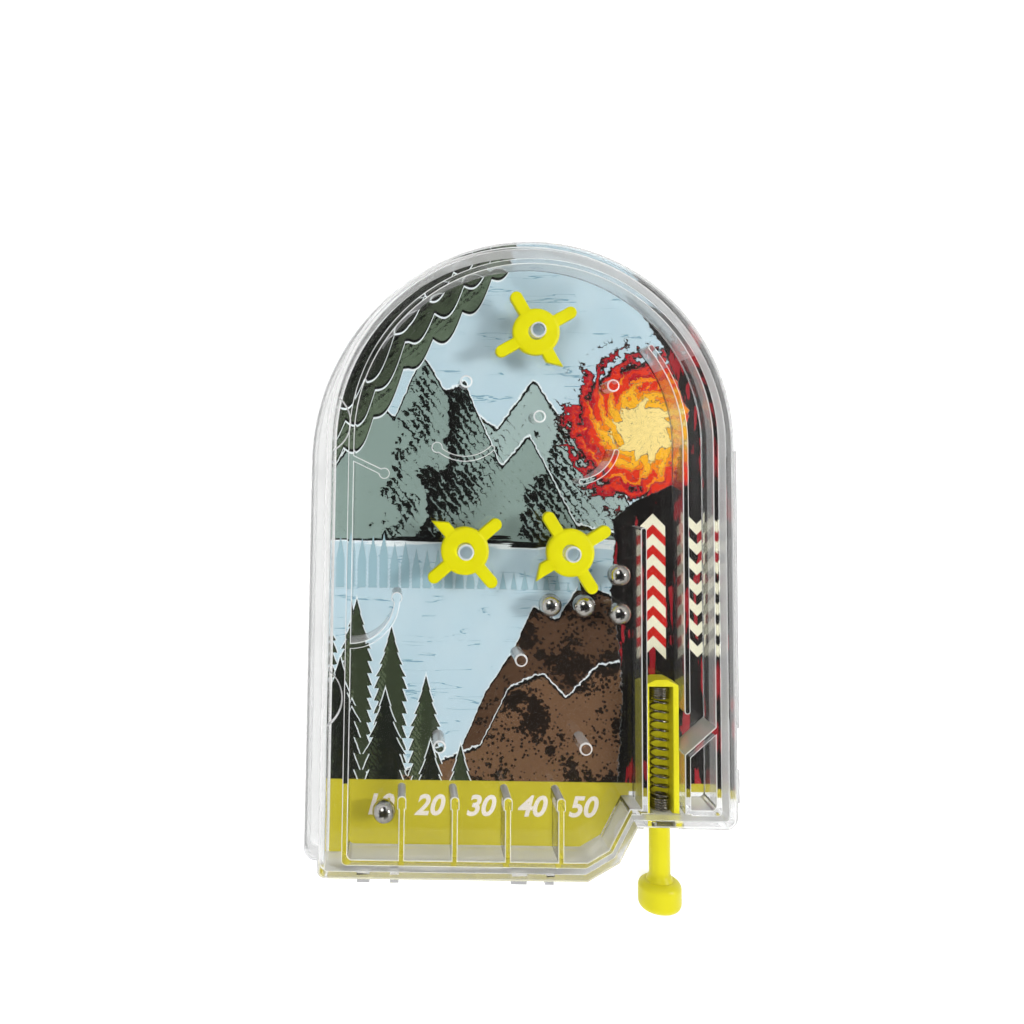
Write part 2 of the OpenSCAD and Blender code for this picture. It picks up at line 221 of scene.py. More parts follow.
def glaze(piece, place, wall, painted_lit, corner, outer=None):
    """Clear plastic in its finishes: glossy flats, walls, the walls that face the arch, made milkier as
    painted light where light falls on them, and corners, paler partly from haze and partly as a painted
    highlight along the edges. The three numbers after place say how milky each of these is. With a height
    outer, the case's outer walls stand below it and beyond the cover's lower wall, and the flange and the
    rim have their own finish"""
    # Each finish: its name, how milky, how many times the haze, and how much of the tint's light is left
    finishes = [("flat", 0.0, 1.0, 1.0), ("wall", wall, 2.0, 0.97), ("raked_wall", painted_lit, 2.0, 0.97),
                ("corner", corner, 2.0, 1.0)]
    if outer:
        finishes += [("outer_wall", OUTER_MILK, 4.0, 0.95), ("flange", RIM_MILK, 2.0, 0.8)]
    piece.data.materials.clear()
    for finish, milk, rough, smoke in finishes:
        plastic = clear_polystyrene(f"clear_polystyrene_{place}_{finish}", milk, rough, smoke)
        piece.data.materials.append(plastic)
    for face in piece.data.polygons:
        height = face.center.z / MM
        level, leaning = abs(face.normal.z) > 0.97, abs(face.normal.z) > 0.2
        beyond = outer and face.center.y < COVER_END * MM
        # Level faces beyond the cover's lower wall take the corners' pale finish
        if level and beyond:
            finish = CORNER_HIGHLIGHT
        elif level:
            finish = RIM if outer and FLANGE[0] < height < FLANGE[1] else FLAT
        elif beyond or height < (outer or 0):
            finish = OUTER_WALL
        # Leaning faces, the rounded edges, take the pale corner finish: partly haze, partly a painted
        # highlight
        elif leaning:
            finish = CORNER_HIGHLIGHT
        else:
            # Walls that face the arch get the milkier finish: painted light where light falls on them
            finish = PAINTED_LIT_WALL if face.normal.y > 0.5 else WALL
        face.material_index = finish


class ClearPlasticSettings(bpy.types.PropertyGroup):
    """How the clear mouldings look"""
    edge: bpy.props.FloatProperty(
        name="Edge radius", description="Radius of the moulding's small edges, in millimetres",
        default=0.18, min=0.05, max=0.4)
    tint: bpy.props.FloatVectorProperty(
        name="Tint", description="Colour that the clear plastic lets through",
        subtype="COLOR", default=(0.982, 0.984, 0.982), min=0, max=1)
    haze: bpy.props.FloatProperty(
        name="Haze", description="Roughness of the moulded surface",
        default=0.03, min=0, max=0.3)


class CardSettings(bpy.types.PropertyGroup):
    """How the printed card looks"""
    band: bpy.props.StringProperty(
        name="Band", description="Colour of the score band, as sRGB hex", default="#C6BA36")
    digit: bpy.props.FloatProperty(
        name="Digit height", description="Height of the slot numbers, in millimetres",
        default=4.1, min=2, max=6)


class YellowSettings(bpy.types.PropertyGroup):
    """Colours of the yellow pieces"""
    spinner: bpy.props.StringProperty(
        name="Spinner", description="Colour of the spinners, as sRGB hex", default="#DDD900")
    plunger: bpy.props.StringProperty(
        name="Plunger", description="Colour of the plunger, as sRGB hex", default="#DFD826")


class SpringSettings(bpy.types.PropertyGroup):
    """How the spring is wound"""
    close_turns: bpy.props.IntProperty(
        name="Close turns", description="Close turns at each end", default=5, min=2, max=6)
    open_turns: bpy.props.FloatProperty(
        name="Open turns", description="Open turns between the ends", default=10.5, min=6, max=14)


class StageSettings(bpy.types.PropertyGroup):
    """How the game is lit and seen"""
    lens: bpy.props.FloatProperty(
        name="Lens", description="Focal length for a 36 mm sensor, in millimetres",
        default=30.8, min=10, max=100)
    lamp: bpy.props.FloatProperty(
        name="Lamp level", description="Scale of all lamps", default=1.0, min=0, max=4)


def clear_polystyrene(name, milk, rough, smoke):
    # General-purpose polystyrene, injection moulded in a polished tool: water-clear and glossy, with faint
    # flow waves and a fine uneven haze. Its walls are a little milky. The walls that face the arch are
    # milkier still, as painted light where light falls on them, and its corners are paler, partly from haze
    # and partly as painted highlights along the edges. Lamps shine through it, as they do through thin clear
    # walls.
    set_up = bpy.context.scene.pinball_clear
    material, tree = blank_material(name)
    place = node(tree, "TexCoord", out="Object")
    flow = node(tree, "TexNoise", place, named={"Scale": 70.0, "Detail": 2.0, "Roughness": 0.4})
    dust = node(tree, "TexNoise", place, named={"Scale": 900.0, "Detail": 3.0, "Roughness": 0.7})
    smoothest, roughest = set_up.haze * 0.3 * rough, set_up.haze * 2.2 * rough
    haze = node(tree, "MapRange", dust, 0.35, 0.8, smoothest, roughest)
    bump = node(tree, "Bump", named={"Strength": 0.12, "Distance": 0.0004, "Height": flow})
    body = node(tree, "BsdfPrincipled", named={
        "Base Color": [c * smoke for c in set_up.tint] + [1], "Roughness": haze, "IOR": 1.52,
        "Transmission Weight": 1.0 - milk, "Normal": bump})
    lamps = node(tree, "LightPath", out="Is Shadow Ray")
    through = node(tree, "BsdfTransparent", [0.985, 0.985, 0.985, 1])
    node(tree, "OutputMaterial", node(tree, "MixShader", lamps, body, through))
    return material


def yellow_plastic(name, code, gloss):
    # Lemon-yellow ABS, injection moulded: dense colour, a little deeper in clouds, satin gloss, and a very
    # fine grain from the tool.
    material, tree = blank_material(name)
    place = node(tree, "TexCoord", out="Object")
    cloud = node(tree, "TexNoise", place, named={"Scale": 160.0, "Detail": 3.0})
    deep = [c * k for c, k in zip(linear(code), (0.90, 0.86, 0.8, 1))]
    colour = node(tree, "MixRGB", cloud, linear(code), deep)
    grain = node(tree, "TexNoise", place, named={"Scale": 2600.0, "Detail": 2.0})
    rough = node(tree, "MapRange", grain, 0.3, 0.7, gloss - 0.05, gloss + 0.08)
    bump = node(tree, "Bump", named={"Strength": 0.15, "Distance": 0.00005, "Height": grain})
    node(tree, "OutputMaterial", node(tree, "BsdfPrincipled", named={
        "Base Color": colour, "Roughness": rough, "Normal": bump, "Specular IOR Level": 0.25,
        "Subsurface Weight": 0.12, "Subsurface Radius": [0.001, 0.001, 0.0003], "Subsurface Scale": 1.0}))
    return material


def polished_steel(name):
    # Carbon-steel bearing ball, tumbled bright: a mirror that finger grease dulls and darkens in patches.
    material, tree = blank_material(name)
    place = node(tree, "TexCoord", out="Object")
    grease = node(tree, "TexNoise", place, named={"Scale": 500.0, "Detail": 4.0, "Roughness": 0.6})
    rough = node(tree, "MapRange", grease, 0.4, 0.75, 0.06, 0.16)
    tone = node(tree, "MixRGB", grease, linear("#D4D1CC"), linear("#B9B5AE"))
    steel = node(tree, "BsdfPrincipled", named={"Base Color": tone, "Metallic": 1.0, "Roughness": rough})
    node(tree, "OutputMaterial", steel)
    return material


def spring_wire(name):
    # Drawn music wire, oiled: grey steel with glints, darker and duller where the oil lies in patches.
    material, tree = blank_material(name)
    place = node(tree, "TexCoord", out="Object")
    patch = node(tree, "TexNoise", place, named={"Scale": 420.0, "Detail": 3.0})
    tone = node(tree, "MixRGB", patch, linear("#A09A90"), linear("#5F5A50"))
    rough = node(tree, "MapRange", patch, 0.3, 0.7, 0.1, 0.2)
    steel = node(tree, "BsdfPrincipled", named={"Base Color": tone, "Metallic": 1.0, "Roughness": rough})
    node(tree, "OutputMaterial", steel)
    return material


def number_ink(name):
    # Off-white screen ink: matte, a little uneven, and warmer where it is thin.
    material, tree = blank_material(name)
    place = node(tree, "TexCoord", out="Object")
    thin = node(tree, "TexNoise", place, named={"Scale": 900.0, "Detail": 3.0})
    tone = node(tree, "MixRGB", thin, linear("#F0E9E2"), linear("#E0D6C8"))
    node(tree, "OutputMaterial", node(tree, "BsdfPrincipled", named={"Base Color": tone, "Roughness": 0.6}))
    return material


def card_board(name):
    # Unprinted back and cut edges of the card: white board with a faint grey fibre.
    material, tree = blank_material(name)
    place = node(tree, "TexCoord", out="Object")
    fibre = node(tree, "TexNoise", place, named={"Scale": 1200.0, "Detail": 3.0})
    tone = node(tree, "MixRGB", fibre, linear("#F1F1EE"), linear("#DCDCD8"))
    node(tree, "OutputMaterial", node(tree, "BsdfPrincipled", named={"Base Color": tone, "Roughness": 0.8}))
    return material


def course(tree, along, *points):
    """A line through (place, height) points, both in millimetres, read off at a place along the card"""
    at = node(tree, "MapRange", along, -CARD_EDGE, CARD_EDGE, 0.0, 1.0)
    ramp = node(tree, "ValToRGB", at).node
    stops = ramp.color_ramp.elements
    for i, (place, height) in enumerate(points):
        stop = stops[i] if i < 2 else stops.new(1.0)
        grey = (height + CARD_EDGE) / (2 * CARD_EDGE)
        stop.position, stop.color = (place + CARD_EDGE) / (2 * CARD_EDGE), [grey, grey, grey, 1]
    return node(tree, "MapRange", ramp.outputs[0], 0.0, 1.0, -CARD_EDGE, CARD_EDGE, clamp=False)


def print_shape(tree, under, gap, fill, line, halo):
    """Prints a shape over the picture: a thin pale halo, a black line, the fill. gap is how far outside the
    shape a place is, and line and halo are widths, all in millimetres"""
    for reach, colour in ((line + halo, linear("#E9F1F2")), (line, linear(INK)), (0.0, fill)):
        cover = node(tree, "MapRange", gap, reach + SOFT_EDGE, reach - SOFT_EDGE, 0.0, 1.0)
        under = node(tree, "MixRGB", cover, under, colour)
    return under


def hatching(tree, x, y, slope, pitch, depth, wander):
    """Ink strokes at an angle slope, pitch apart, that bend with wander. They are as wide as depth says, 0
    for none and 1 for solid black"""
    upward = node(tree, "Math MULTIPLY", y, math.cos(slope))
    across = node(tree, "Math MULTIPLY_ADD", x, math.sin(slope), upward)
    bent = node(tree, "Math MULTIPLY_ADD", wander, 2.2, node(tree, "Math DIVIDE", across, pitch))
    return node(tree, "Math LESS_THAN", node(tree, "Math FRACT", bent), depth)


def printed_card(name):
    # Coated card, offset printed: flat inks under a satin coat, drawn as an ink picture of storm clouds,
    # peaks, a lake, pines, brown hills and a blazing sun over the launch lane, with the score band below.
    material, tree = blank_material(name)
    place = node(tree, "VectorMath SCALE", node(tree, "TexCoord", out="Object"), named={"Scale": 1000.0})
    split = node(tree, "SeparateXYZ", place).node
    x, y = split.outputs[0], split.outputs[1]
    coarse = node(tree, "TexNoise", place, named={"Scale": 0.11, "Detail": 4.0, "Roughness": 0.6})
    ragged = node(tree, "TexNoise", place, named={"Scale": 0.7, "Detail": 3.0, "Roughness": 0.7})
    fine = node(tree, "TexNoise", place, named={"Scale": 2.2, "Detail": 2.0, "Roughness": 0.7})
    rag = node(tree, "Math MULTIPLY_ADD", ragged, 2.4, -1.2)
    streaky = node(tree, "Mapping", place, named={"Scale": (0.045, 0.5, 1.0)})
    streak = node(tree, "TexNoise", streaky, named={"Scale": 1.0, "Detail": 3.0, "Roughness": 0.5})

    # Sky and lake: pale blue with thin broken strokes
    picture = node(tree, "MixRGB", coarse, linear("#C8DAE1"), linear("#B2CEDA"))
    rows = node(tree, "Math MULTIPLY_ADD", streak, 3.0, node(tree, "Math DIVIDE", y, 7.0))
    stroke = node(tree, "Math FRACT", rows)
    thin = node(tree, "Math LESS_THAN", stroke, 0.05)
    broken = node(tree, "Math MULTIPLY", thin, node(tree, "Math GREATER_THAN", coarse, 0.47))
    picture = node(tree, "MixRGB", broken, picture, linear("#7FA3B4"))

    # Peaks: grey-green, black on their far sides, with their feet in the lake
    wobble = node(tree, "Math MULTIPLY_ADD", coarse, 26.0, -13.0)
    leaning = node(tree, "Math ADD", node(tree, "Math MULTIPLY_ADD", y, -0.25, x), wobble)
    for foot, fill, peaks in (
        (2.0, "#A8BCB8", ((-44, 24), (-37, 20), (-31, 27), (-24, 19), (-13, 31), (-5, 25), (3, 36), (9, 27),
                          (14, 29), (24, 8), (30, 3))),
        (-0.5, "#8FA39C", ((-44, 10), (-36, 22), (-30, 31), (-27, 27), (-21, 41), (-16, 33), (-12, 35),
                           (-4, 17), (2, 24), (12, 5), (30, 1))),
    ):
        ridge = node(tree, "Math ADD", course(tree, x, *peaks), node(tree, "Math MULTIPLY", rag, 0.8))
        shore = node(tree, "Math MULTIPLY_ADD", streak, 6.0, foot)
        above, below = node(tree, "Math SUBTRACT", y, ridge), node(tree, "Math SUBTRACT", shore, y)
        gap = node(tree, "Math MAXIMUM", above, below)
        far = course(tree, leaning, (-44, 0), (-31, -0.1), (-30, 0.8), (-26, 0.1), (-21.5, 0), (-20.5, 1.2),
                     (-14, 0.4), (-9, 0), (-1, 0), (0.5, 0.9), (8, 0.4), (12, 0.1))
        depth = node(tree, "Math MULTIPLY_ADD", ragged, -0.9, node(tree, "Math ADD", far, 0.42))
        rock = node(tree, "MixRGB", coarse, linear(fill), [c * 0.86 for c in linear(fill)])
        strokes = hatching(tree, x, y, 0.9, 1.5, depth, ragged)
        rock = node(tree, "MixRGB", strokes, rock, linear(INK))
        picture = print_shape(tree, picture, gap, rock, line=0.75, halo=0.5)

    # Storm clouds: dark grey-green billows along the upper left of the arch
    for phase, lift, fill in ((0.0, 0.0, "#5D6B58"), (3.0, 5.5, "#434C3C"), (1.0, 11.0, "#2C3028")):
        wave = node(tree, "Math SINE", node(tree, "Math MULTIPLY_ADD", x, 0.5, phase))
        swell = node(tree, "Math ABSOLUTE", wave)
        under = course(tree, x, (-44, 17), (-33, 26), (-24, 41), (-14, 50), (-7, 58), (0, 67), (30, 74))
        edge = node(tree, "Math MULTIPLY_ADD", swell, -3.2, node(tree, "Math ADD", under, lift))
        gap = node(tree, "Math SUBTRACT", edge, y)
        inner = node(tree, "MapRange", gap, -0.5, -6.0, 0.0, 0.75)
        depth = node(tree, "Math MULTIPLY_ADD", ragged, -0.7, node(tree, "Math ADD", inner, 0.25))
        strokes = hatching(tree, x, y, -0.7, 1.1, depth, fine)
        cloud = node(tree, "MixRGB", strokes, linear(fill), linear(INK))
        picture = print_shape(tree, picture, gap, cloud, line=0.6, halo=0.4)

    # Blazing sun: a pale disc in rings of curling flames, yellow, orange and red, on a dark ring
    from_x, from_y = node(tree, "Math SUBTRACT", x, SUN[0]), node(tree, "Math SUBTRACT", y, SUN[1])
    square = node(tree, "Math MULTIPLY_ADD", from_x, from_x, node(tree, "Math MULTIPLY", from_y, from_y))
    reach = node(tree, "Math SQRT", square)
    turn = node(tree, "Math ARCTAN2", from_y, from_x)
    bend = node(tree, "Math MULTIPLY_ADD", ragged, 0.22, coarse)
    curl = node(tree, "Math MULTIPLY_ADD", reach, 0.05, bend)
    for radius, flame, count, fill in (
        (14.0, 6.5, 13, "#2A1C18"), (12.4, 6.0, 13, "#B81F2A"), (10.4, 5.5, 13, "#DF3A22"),
        (8.4, 5.0, 11, "#F28A1E"), (6.6, 4.2, 11, "#F5B62E"), (5.0, 2.4, 9, "#F6DF92"),
    ):
        twist = node(tree, "Math MULTIPLY", curl, count * 0.35)
        around = node(tree, "Math MULTIPLY_ADD", turn, count / math.tau, twist)
        zigzag = node(tree, "Math MULTIPLY_ADD", node(tree, "Math FRACT", around), 2.0, -1.0)
        tongue = node(tree, "Math POWER", node(tree, "Math ABSOLUTE", zigzag), 1.6)
        ring = node(tree, "Math MULTIPLY_ADD", coarse, 4.0, radius - 2.0)
        gap = node(tree, "Math SUBTRACT", reach, node(tree, "Math MULTIPLY_ADD", tongue, flame, ring))
        depth = node(tree, "Math MULTIPLY_ADD", ragged, -1.1, 0.62)
        lines = node(tree, "Math FRACT", node(tree, "Math MULTIPLY", around, 4.0))
        lick = node(tree, "Math LESS_THAN", lines, depth)
        tone = node(tree, "MixRGB", lick, linear(fill), [c * 0.45 for c in linear(fill)[:3]] + [1])
        picture = print_shape(tree, picture, gap, tone, line=0.18, halo=0.0)

    # Brown hills: stippled with black, rising towards the lane
    for fill, crest in (
        ("#5C4432", ((-44, -70), (-14, -46), (-7, -30), (-1, -21), (3, -12), (8, -15), (13, -7),
                     (20, -10), (44, -6))),
        ("#7A5C44", ((-44, -49), (-34, -49), (-16, -44), (-8, -41), (-2, -29), (5, -26), (10, -31),
                     (17, -24), (44, -22))),
    ):
        edge = node(tree, "Math ADD", course(tree, x, *crest), node(tree, "Math MULTIPLY", rag, 0.9))
        gap = node(tree, "Math SUBTRACT", y, edge)
        grain = node(tree, "TexVoronoi", place, named={"Scale": 1.15, "Randomness": 1.0})
        dark = node(tree, "MapRange", coarse, 0.36, 0.62, 0.05, 0.62)
        speck = node(tree, "Math LESS_THAN", grain, dark)
        patch = node(tree, "Math MULTIPLY_ADD", coarse, 0.75, node(tree, "Math MULTIPLY", ragged, 0.35))
        deep = node(tree, "Math GREATER_THAN", patch, 0.60)
        soil = node(tree, "MixRGB", fine, linear(fill), [c * 0.72 for c in linear(fill)[:3]] + [1])
        soil = node(tree, "MixRGB", node(tree, "Math MAXIMUM", speck, deep), soil, linear("#241C16"))
        picture = print_shape(tree, picture, gap, soil, line=0.65, halo=0.35)

    # Pines: a pale row on the far shore, then dark rows at the lower left
    for pitch, offset, spread, fill, lit, tops, feet in (
        (2.3, 0.0, 0.30, "#9CBCC6", "#9CBCC6", ((-44, 3), (-30, 2), (-12, -3), (44, -12)), -8.0),
        (7.4, 1.0, 0.42, "#39412F", "#566049",
         ((-44, -12), (-35, -14), (-26, -19), (-18, -29), (-8, -50), (30, -70)), -60.0),
        (9.6, 4.0, 0.46, "#20231C", "#39412F",
         ((-44, -24), (-31, -27), (-20, -38), (-12, -52), (30, -70)), -60.0),
    ):
        step = node(tree, "Math DIVIDE", node(tree, "Math ADD", x, offset), pitch)
        cell = node(tree, "Math FLOOR", step)
        chance = node(tree, "TexWhiteNoise", None, cell, noise_dimensions="1D")
        middle = node(tree, "Math MULTIPLY_ADD", cell, pitch, pitch / 2 - offset)
        top = node(tree, "Math MULTIPLY_ADD", chance, pitch * 0.8, course(tree, middle, *tops))
        side = node(tree, "Math SUBTRACT", x, middle)
        fall = node(tree, "Math SUBTRACT", top, y)
        uneven = node(tree, "Math MULTIPLY_ADD", ragged, pitch * 0.10, fall)
        tier = node(tree, "Math FRACT", node(tree, "Math DIVIDE", uneven, pitch * 0.34))
        flare = node(tree, "Math MULTIPLY_ADD", tier, 0.20 * spread, 0.52 * spread)
        width = node(tree, "Math MULTIPLY", fall, flare)
        widest = node(tree, "Math MULTIPLY_ADD", tier, 0.14 * pitch, 0.30 * pitch)
        width = node(tree, "Math MINIMUM", width, widest)
        gap = node(tree, "Math SUBTRACT", node(tree, "Math ABSOLUTE", side), width)
        gap = node(tree, "Math MAXIMUM", gap, node(tree, "Math SUBTRACT", feet, y))
        divide = node(tree, "Math MULTIPLY_ADD", ragged, pitch * 0.8, -pitch * 0.55)
        facing = node(tree, "Math LESS_THAN", side, divide)
        needles = node(tree, "Math MULTIPLY", facing, hatching(tree, x, y, 0.9, 0.8, 0.6, ragged))
        tree_ink = node(tree, "MixRGB", needles, linear(fill), linear(lit))
        outline = 0.0 if fill == lit else 0.22
        picture = print_shape(tree, picture, gap, tree_ink, line=outline, halo=outline)

    # Dark rock beside the launch lane, streaked with red
    edge = course(tree, y, (-64, 20), (-30, 22), (-16, 21), (-8, 19.5), (2, 20.5), (7, 20), (11, 25),
                  (15, 34), (30, 36.5), (44, 31), (64, 18))
    gap = node(tree, "Math SUBTRACT", node(tree, "Math ADD", edge, rag), x)
    tall = node(tree, "Mapping", place, named={"Scale": (0.55, 0.07, 1.0), "Rotation": (0, 0, -0.12)})
    flow = node(tree, "TexNoise", tall, named={"Scale": 1.0, "Detail": 3.0, "Roughness": 0.55})
    glow = node(tree, "Math GREATER_THAN", flow, 0.6)
    rock = node(tree, "MixRGB", glow, linear("#161412"), linear("#9C222A"))
    picture = print_shape(tree, picture, gap, rock, line=0.3, halo=0.0)

    # Launch lane and return lane: chevrons that point up and down, pale on red and pale on black
    for middle, half, sign, low, high, start in (
        (28.3, 2.65, 1.0, -19.5, 8.34, 4.07),
        (37.6, 2.6, -1.0, -21.8, 6.26, 1.98),
    ):
        side = node(tree, "Math ABSOLUTE", node(tree, "Math SUBTRACT", x, middle))
        lane = node(tree, "Math LESS_THAN", side, half)
        along = node(tree, "Math MULTIPLY_ADD", side, sign, y)
        steps = node(tree, "Math DIVIDE", node(tree, "Math SUBTRACT", along, start), CHEVRON_PITCH)
        step = node(tree, "Math FRACT", steps)
        over, under = node(tree, "Math GREATER_THAN", along, low), node(tree, "Math LESS_THAN", along, high)
        shown = node(tree, "Math MULTIPLY", lane, node(tree, "Math MULTIPLY", over, under))
        if sign > 0:
            picture = node(tree, "MixRGB", shown, picture, linear("#C2261F"))
        arrow = node(tree, "Math MULTIPLY", shown, node(tree, "Math GREATER_THAN", step, 0.47))
        picture = node(tree, "MixRGB", arrow, picture, linear("#E9E6CC"))

    # Score band: mustard yellow, a little uneven
    band = node(tree, "MapRange", y, *BAND_TOP, 0.0, 1.0)
    band_ink = linear(bpy.context.scene.pinball_card.band)
    yellow = node(tree, "MixRGB", fine, band_ink, [c * 0.84 for c in band_ink[:3]] + [1])
    picture = node(tree, "MixRGB", band, picture, yellow)
    sheen = node(tree, "MapRange", fine, 0.3, 0.7, 0.42, 0.55)
    node(tree, "OutputMaterial", node(tree, "BsdfPrincipled", named={
        "Base Color": picture, "Roughness": sheen, "Specular IOR Level": 0.08}))
    return material


class PINBALL_OT_tray(bpy.types.Operator):
    """Clear tray that holds the card and the playfield"""
    bl_idname = "pinball.tray"
    bl_label = "Clear tray"

    def execute(self, context):
        tray = cast("clear_tray", "rear_case")
        wall_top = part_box("rear_case")[1].z
        shift(tray, -PLANE_GAP, lambda z: abs(z - wall_top) < TOUCH)
        round_edges(tray, 0.7, 3, lambda middle: middle.z < 0.01)
        round_edges(tray, 0.12, 2, lambda middle: middle.z > FLANGE[0])
        polish(tray)
        glaze(tray, "tray", 0.3, 0.3, 0.3, outer=7)
        lay_out(tray, None, "case", "clear_plastic", "rear_case")
        return {"FINISHED"}


class PINBALL_OT_cover(bpy.types.Operator):
    """Clear cover with its flange, and the tongue that stops the spring"""
    bl_idname = "pinball.cover"
    bl_label = "Clear cover"

    def execute(self, context):
        cover = cast("clear_cover", "front_cover", "spring_stop")
        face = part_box("front_cover")[1].z / MM
        round_edges(cover, 0.5, 3, lambda middle: middle.z > face - 0.01)
        edge = context.scene.pinball_clear.edge
        round_edges(cover, edge, 2, lambda middle: FLANGE[0] < middle.z < face - 1, level=True)
        polish(cover)
        # The milk of the walls that face the arch is painted light, and the corners' milk is partly a
        # painted highlight
        glaze(cover, "cover", 0.04, 0.12, 0.3, outer=7.2)
        lay_out(cover, None, "case", "clear_plastic", "front_cover", "spring_stop")
        return {"FINISHED"}


class PINBALL_OT_playfield(bpy.types.Operator):
    """Clear moulding of plate, rails, guides, dividers and pegs"""
    bl_idname = "pinball.playfield"
    bl_label = "Clear playfield"

    def execute(self, context):
        field = cast("clear_playfield", *FIELD)
        shift(field, PLANE_GAP, lambda z: z < CARD_TOP + TOUCH)
        edge = context.scene.pinball_clear.edge
        round_edges(field, edge, 2, lambda middle: middle.z > RAIL_TOP / MM - 0.01)
        polish(field)
        # The milk of the walls that face the arch is painted light, and the corners' milk is partly a
        # painted highlight
        glaze(field, "field", 0.02, 0.4, 0.7)
        lay_out(field, None, "case", "clear_plastic", *FIELD)
        return {"FINISHED"}


class PINBALL_OT_pins(bpy.types.Operator):
    """Shouldered pins that carry the spinners"""
    bl_idname = "pinball.pins"
    bl_label = "Spinner pins"

    def execute(self, context):
        for i in (1, 2, 3):
            pin = cast(f"spinner_pin_{i}", f"pin_{i}")
            shift(pin, PLANE_GAP, lambda z: z < PLATE_TOP + TOUCH)
            polish(pin)
            # The milk of the walls that face the arch is painted light, and the corners' milk is partly a
            # painted highlight
            glaze(pin, f"pin_{i}", 0.1, 0.15, 0.6)
            lay_out(pin, None, "case", "clear_plastic", f"pin_{i}")
        return {"FINISHED"}


class PINBALL_OT_card(bpy.types.Operator):
    """Printed card with the slot numbers"""
    bl_idname = "pinball.card"
    bl_label = "Printed card"

    def execute(self, context):
        card = cast("game_card", "print_card")
        shift(card, CARD_GAP, lambda z: z < CARD_TOP - TOUCH)
        lay_out(card, printed_card("coated_card_print"), "case", "printed_card", "print_card")
        card.data.materials.append(card_board("white_card_board"))
        for face in card.data.polygons:
            face.material_index = 0 if face.normal.z > 0.5 else 1
        ink = number_ink("off_white_screen_ink")
        height = context.scene.pinball_card.digit
        for number, middle in SLOT_NUMBERS:
            bpy.ops.object.select_all(action="DESELECT")
            bpy.ops.object.text_add(location=(0, 0, 0))
            words = context.object
            words.data.body = str(number)
            words.data.size, words.data.shear = height * MM / CAPITAL, 0.28
            words.data.offset, words.data.extrude = 0.16 * MM, INK_DEPTH * MM
            words.data.align_x, words.data.resolution_u = "CENTER", 4
            bpy.ops.object.convert(target="MESH")
            words = context.object
            words.name = words.data.name = f"slot_number_{number}"
            base = min(v.co.y for v in words.data.vertices)
            for v in words.data.vertices:
                v.co += Vector((middle * MM, NUMBER_FOOT * MM - base, CARD_TOP + 1.5 * INK_DEPTH * MM))
            lay_out(words, ink, "case", "printed_card")
        return {"FINISHED"}


class PINBALL_OT_spinners(bpy.types.Operator):
    """Three four-armed spinners"""
    bl_idname = "pinball.spinners"
    bl_label = "Spinners"

    def execute(self, context):
        plastic = yellow_plastic("yellow_abs_spinner", context.scene.pinball_yellow.spinner, 0.38)
        for i, body in ((1, "spinner_a"), (2, "spinner_b"), (3, "spinner_c")):
            star = cast(f"star_spinner_{i}", f"spinner_{i}")
            round_edges(star, 0.3, 3, lambda middle: middle.z > SPINNER_MIDDLE, level=True)
            polish(star)
            lay_out(star, plastic, body, "yellow_plastic", f"spinner_{i}")
        return {"FINISHED"}


class PINBALL_OT_plunger(bpy.types.Operator):
    """Pull plunger: spring frame, rod and knob in one moulding"""
    bl_idname = "pinball.plunger"
    bl_label = "Plunger"

    def execute(self, context):
        plunger = cast("pull_plunger", "plunger")
        # The arm beside the lane's rail is thinner than the other, so the spring shows right up to the rail
        for v in plunger.data.vertices:
            if abs(v.co.x / MM - ARM_FACE) < 0.01 and ARM_ENDS[0] < v.co.y / MM < ARM_ENDS[1]:
                v.co.x -= ARM_TRIM * MM
        round_edges(plunger, 0.2, 3, lambda middle: middle.y > ROD_END and middle.z > PLUNGER_MIDDLE)
        polish(plunger)
        plastic = yellow_plastic("yellow_abs_plunger", context.scene.pinball_yellow.plunger, 0.33)
        lay_out(plunger, plastic, "plunger", "yellow_plastic", "plunger")
        return {"FINISHED"}


class PINBALL_OT_spring(bpy.types.Operator):
    """Wound compression spring with close end turns"""
    bl_idname = "pinball.spring"
    bl_label = "Spring"

    def execute(self, context):
        set_up = context.scene.pinball_spring
        close_turns, open_turns = set_up.close_turns, set_up.open_turns
        low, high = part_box("spring")
        wire = WIRE * MM
        middle, radius = (low + high) / 2, (high.x - low.x - wire) / 2 + COIL_SHIFT * MM
        middle.x -= COIL_SHIFT * MM
        # Pitch of the close turns, and what is left for each open turn
        close = wire * 1.08
        pitch = (high.y - low.y - wire - 2 * close_turns * close) / open_turns
        steps = 20
        points = []
        for k in range(int((open_turns + 2 * close_turns) * steps) + 1):
            t = k / steps
            rise = min(t, close_turns) * close + max(0, min(t - close_turns, open_turns)) * pitch
            rise += max(0, t - close_turns - open_turns) * close
            across, up = radius * math.cos(math.tau * t), radius * math.sin(math.tau * t)
            points.append((middle.x + across, low.y + wire / 2 + rise, middle.z + up, 1))
        coil = bpy.data.curves.new("coil_spring", "CURVE")
        coil.dimensions = "3D"
        coil.bevel_depth, coil.bevel_resolution, coil.use_fill_caps = wire / 2, 3, True
        line = coil.splines.new("POLY")
        line.points.add(len(points) - 1)
        for point, place in zip(line.points, points):
            point.co = place
        spring = bpy.data.objects.new("coil_spring", coil)
        context.collection.objects.link(spring)
        only(spring)
        bpy.ops.object.convert(target="MESH")
        spring = context.object
        bpy.ops.object.shade_smooth()
        lay_out(spring, spring_wire("drawn_spring_wire"), "case", "spring_wire", "spring")
        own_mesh(spring)
        return {"FINISHED"}


